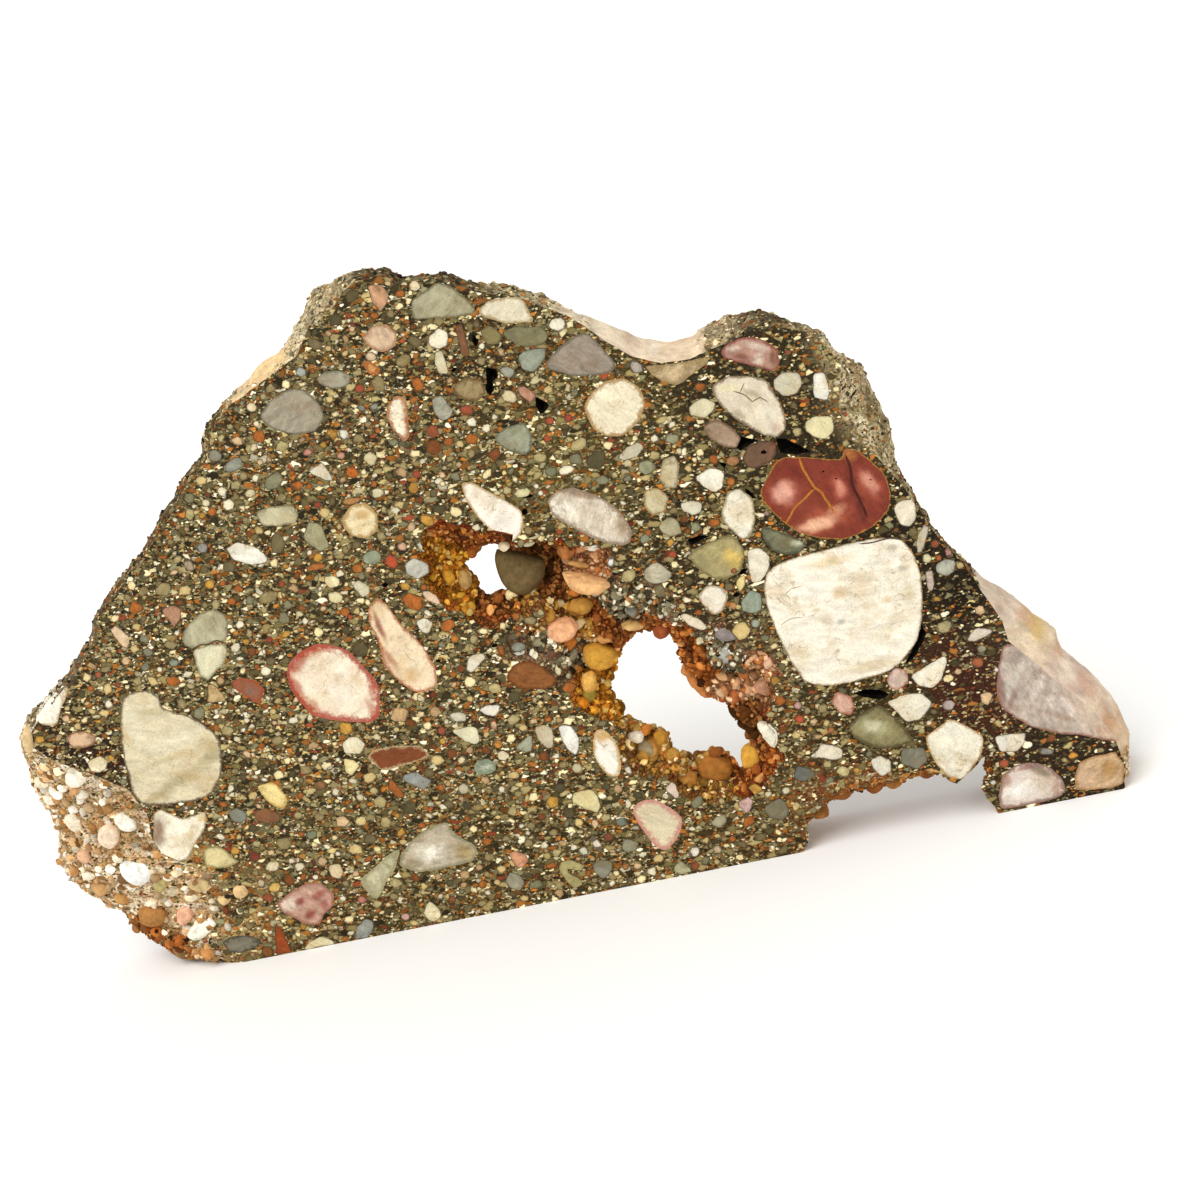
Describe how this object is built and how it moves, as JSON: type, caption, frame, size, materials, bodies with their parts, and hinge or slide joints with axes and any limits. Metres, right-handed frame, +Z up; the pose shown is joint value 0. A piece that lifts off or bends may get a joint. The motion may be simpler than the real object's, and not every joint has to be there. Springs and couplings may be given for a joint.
{
  "type": "puddingstone slab",
  "caption": "Sawn slab of pebbly conglomerate standing on a flat cut edge, with broken sides, an arched notch beneath and a weathered hollow worn right through.",
  "frame": {"origin": "bottom centre of the bounding box, on the plane that the slab stands on", "axes": "+X along the slab to the right as seen from its polished front face, +Y from the front face to the back face, +Z up"},
  "size_m": [0.147, 0.01, 0.0896],
  "materials": {
    "stone": "satin-polished conglomerate on the sawn faces: cream, grey, red and ochre pebbles in a dark olive-brown sandy matrix; rough, unpolished broken edges"
  },
  "bodies": {
    "root": {"slab": "stone"}
  },
  "joints": []
}
